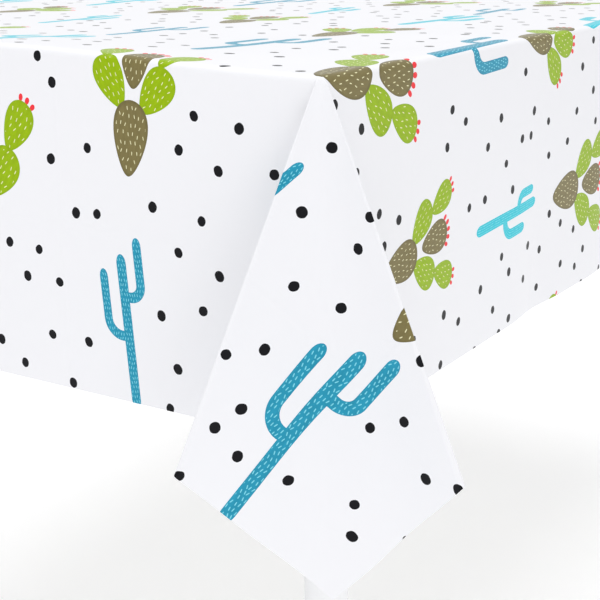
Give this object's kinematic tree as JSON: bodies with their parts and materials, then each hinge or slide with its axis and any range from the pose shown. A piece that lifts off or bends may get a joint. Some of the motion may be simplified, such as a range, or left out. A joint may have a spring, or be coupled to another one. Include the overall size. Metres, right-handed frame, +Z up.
{
  "type": "tablecloth on a table",
  "caption": "Film tablecloth with equal drop and folded corners, laid over a rectangular table with round steel legs, a rail frame and screw-adjusted feet.",
  "frame": {"origin": "on the floor, under the middle of the table", "axes": "+X along the table's length, +Y along its width, +Z up"},
  "size_m": [1.54, 1.1108, 0.7523],
  "materials": {
    "film": "gloss",
    "laminate": "satin",
    "banding": "satin",
    "painted_steel": "satin",
    "cast_alloy": "satin",
    "zinc_steel": "satin",
    "black_steel": "satin",
    "nylon": "matte"
  },
  "bodies": {
    "table": {"table_top": "laminate", "edge_band_front": "banding", "edge_band_back": "banding", "edge_band_left": "banding", "edge_band_right": "banding", "rail_front": "painted_steel", "rail_back": "painted_steel", "rail_left": "painted_steel", "rail_right": "painted_steel", "rail_middle": "painted_steel", "middle_saddle_front": "painted_steel", "middle_saddle_back": "painted_steel", "corner_block_front_left": "cast_alloy", "leg_set_screw_front_left": "black_steel", "top_screw_front_left_a": "zinc_steel", "top_screw_front_left_b": "zinc_steel", "top_screw_front_left_c": "zinc_steel", "top_screw_front_left_d": "zinc_steel", "leg_front_left": "painted_steel", "leg_plug_front_left": "nylon", "corner_block_front_right": "cast_alloy", "leg_set_screw_front_right": "black_steel", "top_screw_front_right_a": "zinc_steel", "top_screw_front_right_b": "zinc_steel", "top_screw_front_right_c": "zinc_steel", "top_screw_front_right_d": "zinc_steel", "leg_front_right": "painted_steel", "leg_plug_front_right": "nylon", "corner_block_back_right": "cast_alloy", "leg_set_screw_back_right": "black_steel", "top_screw_back_right_a": "zinc_steel", "top_screw_back_right_b": "zinc_steel", "top_screw_back_right_c": "zinc_steel", "top_screw_back_right_d": "zinc_steel", "leg_back_right": "painted_steel", "leg_plug_back_right": "nylon", "corner_block_back_left": "cast_alloy", "leg_set_screw_back_left": "black_steel", "top_screw_back_left_a": "zinc_steel", "top_screw_back_left_b": "zinc_steel", "top_screw_back_left_c": "zinc_steel", "top_screw_back_left_d": "zinc_steel", "leg_back_left": "painted_steel", "leg_plug_back_left": "nylon"},
    "foot_front_left": {"foot_pad_front_left": "nylon", "foot_stud_front_left": "zinc_steel"},
    "foot_front_right": {"foot_pad_front_right": "nylon", "foot_stud_front_right": "zinc_steel"},
    "foot_back_right": {"foot_pad_back_right": "nylon", "foot_stud_back_right": "zinc_steel"},
    "foot_back_left": {"foot_pad_back_left": "nylon", "foot_stud_back_left": "zinc_steel"},
    "tablecloth": {"tablecloth": "film"}
  },
  "joints": [
    {"name": "foot_screw_front_left", "type": "slide", "parent": "table", "child": "foot_front_left", "axis": [0, 0, -1], "range_m": [0, 0.012]},
    {"name": "foot_screw_front_right", "type": "slide", "parent": "table", "child": "foot_front_right", "axis": [0, 0, -1], "range_m": [0, 0.012]},
    {"name": "foot_screw_back_right", "type": "slide", "parent": "table", "child": "foot_back_right", "axis": [0, 0, -1], "range_m": [0, 0.012]},
    {"name": "foot_screw_back_left", "type": "slide", "parent": "table", "child": "foot_back_left", "axis": [0, 0, -1], "range_m": [0, 0.012]},
    {"name": "cloth_lift", "type": "slide", "parent": "table", "child": "tablecloth", "axis": [0, 0, 1], "range_m": [0, 0.4]}
  ]
}
